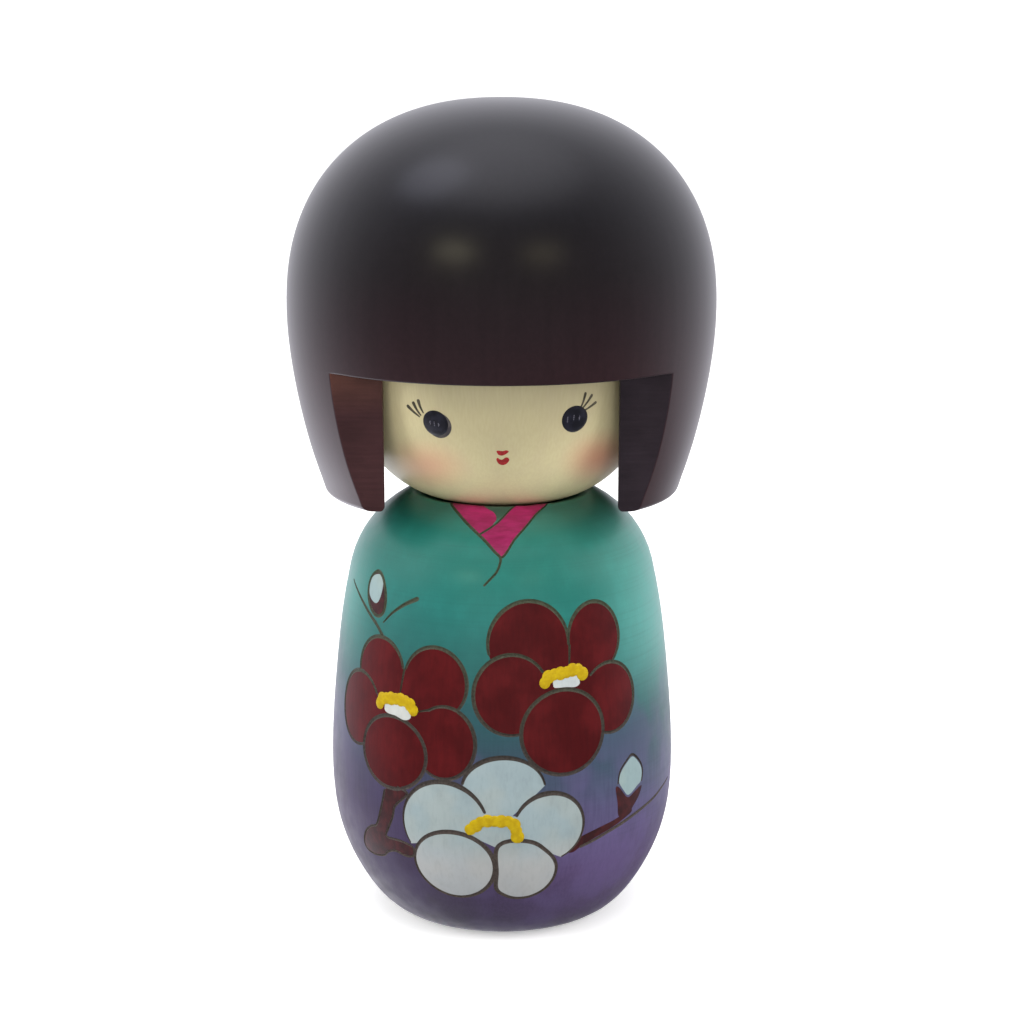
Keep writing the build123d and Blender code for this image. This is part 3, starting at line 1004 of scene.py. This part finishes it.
def build_body():
    """The barrel with its carved front, dished seat and neck hole, and the paint on it."""
    lines = carved_lines()
    carving = Carving(body_surface, lines)
    areas = [(name, m, [body_surface.lay(o) for o in outlines]) for name, m, outlines in painted_areas()]
    flat, triangles = body_map(lines, areas)
    in_line = carving.nearness(body_surface.points(flat[triangles].mean(1))) > 0
    paint_body(areas, flat, triangles, in_line)

    depth = GROOVE_DEPTH * carving.nearness(body_surface.points(flat))
    points = list(body_surface.points(flat, -depth))
    twin = np.arange(len(flat))
    twin[on_edge(flat, 0, HALF_TURN)] = on_edge(flat, 0, -HALF_TURN)
    faces = twin[triangles].tolist()

    hole = resampled(np.array([(NECK_HOLE_RADIUS, SEAT_Z), (NECK_HOLE_RADIUS, NECK_HOLE_Z)]), 3.0)
    inner = [*seat[SEAT_CARRIED_ON:], *hole, (2.0, NECK_HOLE_Z)]
    foot = [(19.0, 0.0), (14.0, 0.0), (7.0, 0.0)]
    for level, outline, flip in ((body_surface.along[-1], inner, False), (0.0, foot, True)):
        rings = [on_edge(flat, 1, level)[:-1].tolist()] + turned_rings(points, outline)
        faces += joined(rings, flip) + close(points, rings[-1], outline[-1][1], flip)
    plain = len(faces) - len(triangles)
    picks = [int(carved) for carved in in_line] + [0] * plain
    exact = list(~in_line) + [False] * plain
    normals = np.zeros((len(points), 3))
    normals[:len(flat)] = body_surface.normals(flat)
    make_piece("body_barrel", points, faces, [stain_and_painted_light_material(), burn_material()], "torso",
               "body", picks, normals, exact)


# ---------------------------------------------------------------- face ball

chin = superellipse(FACE_RADIUS, -FACE_DEPTH_BELOW, FACE_WAIST_Z, FACE_EXPONENT_BELOW, FACE_FLAT_RADIUS, 90)
crown = superellipse(FACE_RADIUS, FACE_DEPTH_ABOVE, FACE_WAIST_Z, FACE_EXPONENT_ABOVE, FACE_FLAT_RADIUS, 40)
face_surface = Turned(np.vstack([chin[::-1], crown[1:]]), FACE_RADIUS)

# Each eye: its centre, its half sizes, and how far its ring is shifted.
EYES = {
    "left": ((-12.4, 97.05), (2.55, 2.35), (0.6, -0.35)),
    "right": ((13.95, 97.75), (2.6, 2.4), (0.12, -0.1)),
}
LEFT_LASHES = [
    [(-15.6, 98.0), (-16.8, 98.8), (-17.9, 99.7)],
    [(-15.3, 98.3), (-16.0, 99.2), (-16.6, 100.4)],
    [(-14.7, 98.8), (-15.2, 99.8), (-15.5, 100.9)],
]
RIGHT_LASHES = [
    [(14.9, 99.6), (15.4, 100.8), (15.7, 102.2)],
    [(15.3, 99.5), (16.2, 100.5), (17.1, 101.75)],
    [(15.8, 99.1), (17.0, 99.7), (18.1, 100.35)],
]
LEFT_GLINTS = [(-13.3, 97.2), (-12.45, 97.1), (-11.6, 97.0)]
RIGHT_GLINTS = [(12.35, 97.9), (13.55, 98.0), (14.7, 98.0)]
UPPER_LIP = [
    (-0.9, 92.3), (-0.4, 92.38), (0.3, 92.3), (1.0, 92.45), (1.5, 92.2), (1.05, 91.8), (0.5, 91.5),
    (0.0, 91.42), (-0.6, 91.65),
]
LOWER_LIP = [
    (-0.95, 90.7), (-0.7, 91.0), (-0.35, 90.75), (0.1, 90.6), (0.5, 90.8), (0.9, 91.05), (1.35, 91.0),
    (1.65, 90.6), (1.4, 90.1), (0.9, 89.7), (0.3, 89.55), (-0.3, 89.7), (-0.75, 90.1),
]


def feature(name, outlines, material, lift, pitch=0.4, sink=PAINT_SINK):
    """Paint on the face inside some closed map outlines."""
    loops = [resampled(closed_line(o), pitch * 0.6)[:-1] for o in outlines]
    fixed = np.vstack(loops)
    loose = lattice(fixed.min(0), fixed.max(0), pitch)
    flat, triangles = triangulate(loops, [], apart_from(loose, fixed, pitch * 0.4))
    centroid = flat[triangles].mean(1)
    kept = np.zeros(len(triangles), bool)
    for loop in loops:
        kept |= inside(centroid, loop)
    film(name, face_surface, flat, triangles[kept], material, "head", lift, sink)


def build_face():
    """The head's core: a turned ball with a dowel socket at each end."""
    outline = face_surface.outline
    low_z, high_z = outline[0, 1], outline[-1, 1]
    (neck_r, neck_z), (crown_r, crown_z) = NECK_SOCKET, CROWN_SOCKET
    points = []
    rings = turned_rings(points, [
        (1.5, neck_z), (neck_r, neck_z), (neck_r, low_z), (5.8, low_z),
        *outline,
        (5.5, high_z), (crown_r, high_z), (crown_r, crown_z), (1.2, crown_z),
    ])
    faces = joined(rings) + close(points, rings[0], neck_z, True) + close(points, rings[-1], crown_z)
    make_piece("face", points, faces, [face_wood_and_painted_light_material()], "head", "face_ball")


def paint_face():
    """Domed eyes, each with a thin ring that sits a little off it, painted highlights, lashes and lips."""
    ink, edge = ink_material(), soft_ink_material()
    lay = face_surface.lay
    for tag, (centre, halves, (across, up)) in EYES.items():
        ring = oval((centre[0] + across, centre[1] + up), halves)
        dome = drops(lay([centre]), halves, 0.06, 0.3)
        feature(tag + "_eye_edge", [lay(ring)], edge, 0.04)
        feature(tag + "_eye", [lay(oval(centre, halves))], ink, dome, 0.35)
    # Painted highlights: small pale ovals of paint over each eye.
    glints = [lay(oval(at, (0.26, 0.55))) for at in LEFT_GLINTS]
    glints += [lay(oval(at, (0.24, 0.75))) for at in RIGHT_GLINTS]
    feature("eye_glints", glints, glint_material(), 0.38, 0.2, -0.1)
    strokes = [face_surface.stroke(lay(drawn(line)), [0.15, 0.23, 0.33]) for line in LEFT_LASHES]
    strokes += [face_surface.stroke(lay(drawn(line)), [0.15, 0.19, 0.27]) for line in RIGHT_LASHES]
    feature("lashes", strokes, lash_material(), 0.05, 0.3)
    feature("lips", [lay(drawn(UPPER_LIP, True)), lay(drawn(LOWER_LIP, True))], lip_material(), 0.07, 0.3)


# ---------------------------------------------------------------- hair hood

ARC_STEPS = 64
FRINGE_STEPS = 76
CORNER_STEPS = 5
FRINGE_ROUND = 0.35
FRINGE_FADE = 0.09               # the angle over which the fringe's rounding fades out at a lock
hood_side = spline(
    [(32.6, RIM_Z), (34.5, 86.3), (36.8, 94.9), (38.5, 104.2), (HOOD_RADIUS, HOOD_WAIST_Z)],
    (0.27, 0.96), (0, 1), 120,
)


def hood_radius(z):
    return np.interp(z, hood_side[:, 1], hood_side[:, 0])


def rim_inset(z, low, rounding):
    """How far a rounded lower edge stands back at height z."""
    rise = np.clip(z - low, 0, rounding)
    return rounding - np.sqrt(np.clip(rounding ** 2 - (rounding - rise) ** 2, 0, None))


def on_ring(radius, angle, z):
    """A place on a ring; the angle runs from the front towards the viewer's right."""
    return np.array([radius * math.sin(angle), -radius * math.cos(angle), z])


def lock_section(z):
    """The right lock and right half of the back at height z, as three runs of points:
    the outside from the back to the lock, the sawn faces, and the bore back to the middle."""
    inset = rim_inset(z, RIM_Z, RIM_ROUND)
    outer = hood_radius(z) - inset
    bore = HOOD_BORE + inset
    cut = CUT_Y[0] + (CUT_Y[1] - CUT_Y[0]) * (z - RIM_Z) / (FRINGE_Z - RIM_Z)
    front_angle = math.acos(-cut / outer)
    window = WINDOW_HALF_WIDTH + inset * 0.8
    bore_y = -math.sqrt(bore ** 2 - window ** 2)
    bore_angle = math.atan2(window, -bore_y)
    step = CORNER_ROUND
    back_step = min(step, (bore_y - cut) * 0.45)
    outside = [on_ring(outer, t, z) for t in np.linspace(math.pi, front_angle + step / outer, ARC_STEPS)]
    corner = on_ring(outer, front_angle, z)
    inner = np.array([window, cut, z])
    edge = np.array([window, bore_y, z])
    bore_run = [on_ring(bore, t, z) for t in np.linspace(bore_angle + step / bore, math.pi, ARC_STEPS)]
    sawn = [
        *bend(outside[-1], corner, corner + [-step, 0, 0], CORNER_STEPS)[1:],
        *bend(inner + [step, 0, 0], inner, inner + [0, back_step, 0], CORNER_STEPS),
        *bend(edge - [0, back_step, 0], edge, bore_run[0], CORNER_STEPS)[:-1],
    ]
    return outside, sawn, bore_run


def both_sides(ring, face):
    """A face between points of a ring's right half, and its mirror image on the left. Counted
    backwards from the ring's first point, the same numbers give the points on the left."""
    return [tuple(ring[i] for i in face), tuple(ring[-i] for i in reversed(face))]


def raise_wall(points, faces, rows, edge, top, shared, apex_z, inner):
    """The hood's outside or bore above the locks, one ring for each (r, z) of rows, closed on the axis.
    The edge is the angle at which the fringe meets a lock, and the lowest ring takes its shared points
    from the top ring of the locks. Gives the lowest ring's front, from the right lock to the left."""
    back = np.linspace(math.pi, edge, ARC_STEPS)
    front = np.linspace(edge, -edge, FRINGE_STEPS)[1:-1]
    angles = np.concatenate([back, front, -back[:0:-1]])
    fade = smoothstep(0.0, FRINGE_FADE, edge - np.abs(angles))
    rings = []
    for r, z in rows:
        inset = rim_inset(z, FRINGE_Z, FRINGE_ROUND) * fade
        radii = r + inset if inner else r - inset
        row = [on_ring(radius, t, z) for radius, t in zip(radii, angles)]
        if rings:
            rings.append(add_points(points, row))
        else:
            across = add_points(points, row[ARC_STEPS:1 - ARC_STEPS])
            rings.append([top[i] for i in shared] + across + [top[-i] for i in shared[:0:-1]])
    faces.extend(joined(rings, not inner) + close(points, rings[-1], apex_z, not inner))
    return rings[0][ARC_STEPS - 1:2 - ARC_STEPS]


def build_hood():
    """The bob-cut hood: two sawn locks, a straight fringe, a domed crown and the bore inside."""
    points, faces, sawn_faces, rings = [], [], [], []
    rounded = RIM_Z + RIM_ROUND * (1 - np.cos(np.radians(np.arange(0, 91, 15))))
    for z in [*rounded, *np.linspace(RIM_Z + RIM_ROUND, FRINGE_Z, 22)[1:]]:
        outside, sawn, bore_run = lock_section(z)
        right = outside + sawn + bore_run
        left = [p * np.array([-1, 1, 1]) for p in right[-2:0:-1]]
        rings.append(add_points(points, right + left))
    sawn_run = range(ARC_STEPS + 1, ARC_STEPS + len(sawn) - 2)
    for lower, upper in zip(rings, rings[1:]):
        for i, quad in enumerate(bridge(lower, upper, True)):
            is_sawn = min(i, len(lower) - 1 - i) in sawn_run
            (sawn_faces if is_sawn else faces).append(quad)

    # the flat end of the back and of each lock, between the outer and the bore rounding
    rim, top, last = rings[0], rings[-1], len(right) - 1
    for i in range(ARC_STEPS - 1):
        faces += both_sides(rim, (i, i + 1, last - 1 - i, last - i))
    sawn_faces += both_sides(rim, range(ARC_STEPS - 1, ARC_STEPS + len(sawn) + 1))

    # above the locks; outside and bore_run are still those of the locks' top
    rises = FRINGE_ROUND * (1 - np.cos(np.radians(np.arange(0, 91, 18))))
    heights = [*(FRINGE_Z + rises), *np.linspace(FRINGE_Z + FRINGE_ROUND, HOOD_WAIST_Z, 8)[1:]]
    crown_height = HOOD_TOP_Z - HOOD_WAIST_Z
    crown_rows = superellipse(HOOD_RADIUS, crown_height, HOOD_WAIST_Z, HOOD_EXPONENT, 0.6, 48)
    roof_height = FACE_DEPTH_ABOVE + BORE_ROOF_GAP
    roof = superellipse(HOOD_BORE, roof_height, FACE_WAIST_Z, FACE_EXPONENT_ABOVE, FACE_FLAT_RADIUS, 26)
    (hole_r, hole_z), roof_z = HOOD_HOLE, roof[-1][1]
    outer_rows = [(hood_radius(z), z) for z in heights] + list(crown_rows[1:])
    bore_rows = [(HOOD_BORE, z) for z in heights] + list(roof)
    bore_rows += [(5.5, roof_z), (hole_r, roof_z), (hole_r, hole_z), (1.2, hole_z)]
    outer_edge = math.atan2(outside[-1][0], -outside[-1][1])
    bore_edge = math.atan2(bore_run[0][0], -bore_run[0][1])
    outer_run, inner_run = range(ARC_STEPS), range(last, last - ARC_STEPS, -1)
    outer_front = raise_wall(points, faces, outer_rows, outer_edge, top, outer_run, HOOD_TOP_Z, False)
    inner_front = raise_wall(points, faces, bore_rows, bore_edge, top, inner_run, hole_z, True)

    # the underside of the fringe, between the tops of the two sawn fronts
    across_lock = range(ARC_STEPS, ARC_STEPS + len(sawn))
    left_top, right_top = [top[-i] for i in across_lock], [top[i] for i in across_lock]
    faces.append(tuple(outer_front + left_top + inner_front[::-1] + right_top[::-1]))
    picks = [0] * len(faces) + [1] * len(sawn_faces)
    hood = make_piece("hair", points, faces + sawn_faces, [hair_material(), sawn_material()], "head",
                      "hair_hood", picks, sharp_angle=35.0)
    even = hood.modifiers.new("even_shading", "WEIGHTED_NORMAL")
    even.keep_sharp = True


# ---------------------------------------------------------------- studio

FLOOR_SIZE = 400.0               # metres, so that it reaches the horizon
FLOOR_STEPS = 24

# Each lamp: name, bearing, elevation, distance, (width, height), power, colour, seen in the lacquer.
# A bearing of 0 is in front and grows to the viewer's right.
LAMPS = [
    ("overhead", 0, 72, 0.6, (0.6, 0.6), 1.5, (1, 1, 1), False),
    ("side_left", -76, 25, 1.0, (0.7, 0.7), 6.0, (1, 1, 1), False),
    ("front_left", -16, 3, 1.0, (0.5, 0.5), 1.95, (1, 1, 1), False),
    ("side_right", 76, 25, 1.0, (0.7, 0.7), 6.0, (1, 1, 1), False),
    ("front_right", 16, 3, 1.0, (0.5, 0.5), 1.95, (1, 1, 1), False),
    ("lamp_left", -26, 28, 0.8, (0.28, 0.12), 0.23, (1.0, 0.93, 0.62), True),
    ("lamp_right", 23, 27, 0.8, (0.28, 0.12), 0.11, (1.0, 0.9, 0.55), True),
    ("window", -78, 63, 0.8, (0.4, 0.4), 0.5, (0.8, 0.82, 1.0), True),
]


def lay_floor():
    """Pale paper that looks plain white to the camera and isn't mirrored in the lacquer."""
    places = [FLOOR_SIZE * (i / FLOOR_STEPS - 0.5) for i in range(FLOOR_STEPS + 1)]
    row = len(places)
    corners = [j * row + i for j in range(FLOOR_STEPS) for i in range(FLOOR_STEPS)]
    mesh = bpy.data.meshes.new("floor")
    points = [(x, y, 0.0) for y in places for x in places]
    mesh.from_pydata(points, [], [(c, c + 1, c + row + 1, c + row) for c in corners])
    paper = Recipe("paper")
    white = paper.mix(paper.noise((0.3, 0.3, 0.3), 3.0), rgb(250, 250, 250), rgb(254, 254, 254))
    seen = paper.add("LightPath").outputs["Is Camera Ray"]
    colour = paper.mix(seen, rgb(170, 170, 172), white)
    mesh.materials.append(paper.finish(colour, 0.9, 0.0, emission=paper.times(seen, 0.35)))
    floor = bpy.data.objects.new("floor", mesh)
    bpy.context.scene.collection.objects.link(floor)
    floor.visible_glossy = False


def hang_tent():
    """A tent of light: bright above and behind, and plain white to the camera. Rays reflected by
    the lacquer see it as it is, and the rest of the lighting sees it evened out."""
    world = bpy.data.worlds.new("tent")
    bpy.context.scene.world = world
    tent = Nodes(world)

    def background(colour, strength):
        return tent.add("Background", Color=colour, Strength=strength).outputs["Background"]

    axes = tent.add("SeparateXYZ", Vector=tent.add("TexCoord").outputs["Generated"]).outputs
    overhead = tent.ease(axes["Z"], 0.71, 1.0, 0.06, 1.42)
    behind = tent.ease(axes["Y"], -0.6, 0.9, 0.07, 1.02)
    level_sides = tent.ease(axes["X"], -0.6, 0.6, 1.02, 0.92)
    low_sides = tent.ease(axes["X"], -0.5, 0.5, 2.2, 0.36)
    low = tent.ease(axes["Z"], -0.55, -0.25, 1.0, 0.0)
    sides = tent.ease(low, 0.0, 1.0, level_sides, low_sides, "LINEAR")
    light = tent.times(tent.calculate("MAXIMUM", overhead, behind), sides)
    even = background(WHITE_LIGHT, tent.calculate("MULTIPLY_ADD", light, 0.7, 0.35))
    mirrored = background((0.96, 0.95, 1.04, 1.0), light)
    path = tent.add("LightPath").outputs
    lighting = tent.shader_mix(path["Is Glossy Ray"], even, mirrored)
    seen = tent.shader_mix(path["Is Camera Ray"], lighting, background(WHITE_LIGHT, 1.0))
    tent.add("OutputWorld", Surface=seen)


def add_lamp(name, bearing, elevation, distance, size, power, colour, in_lacquer):
    """An oval lamp aimed at the doll."""
    turn, rise = math.radians(bearing), math.radians(elevation)
    data = bpy.data.lights.new(name, "AREA")
    data.shape = "ELLIPSE"
    data.size, data.size_y = size
    data.energy = power
    data.color = colour
    lamp = bpy.data.objects.new(name, data)
    bpy.context.scene.collection.objects.link(lamp)
    way = Vector((math.sin(turn) * math.cos(rise), -math.cos(turn) * math.cos(rise), math.sin(rise)))
    lamp.location = Vector((0, 0, 0.1)) + way * distance
    lamp.rotation_mode = "QUATERNION"
    lamp.rotation_quaternion = way.to_track_quat("Z", "Y")
    lamp.visible_glossy = in_lacquer


def place_camera():
    """A long lens a little above the doll, as in the photograph."""
    data = bpy.data.cameras.new("camera")
    data.lens = 81.5
    data.sensor_width = 36.0
    data.clip_start, data.clip_end = 0.01, 1000.0
    camera = bpy.data.objects.new("camera", data)
    bpy.context.scene.collection.objects.link(camera)
    camera.location = (0.0019, -0.4235, 0.1695)
    camera.rotation_euler = (math.radians(90 - 12.51), 0, 0)
    bpy.context.scene.camera = camera


bpy.context.scene.view_settings.view_transform = "Standard"
build_body()
build_face()
paint_face()
build_hood()
for dowel in ("neck_dowel", "crown_dowel"):
    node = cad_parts[dowel]
    node.data.materials.clear()
    node.data.materials.append(bare_wood_material())
lay_floor()
hang_tent()
for lamp in LAMPS:
    add_lamp(*lamp)
place_camera()
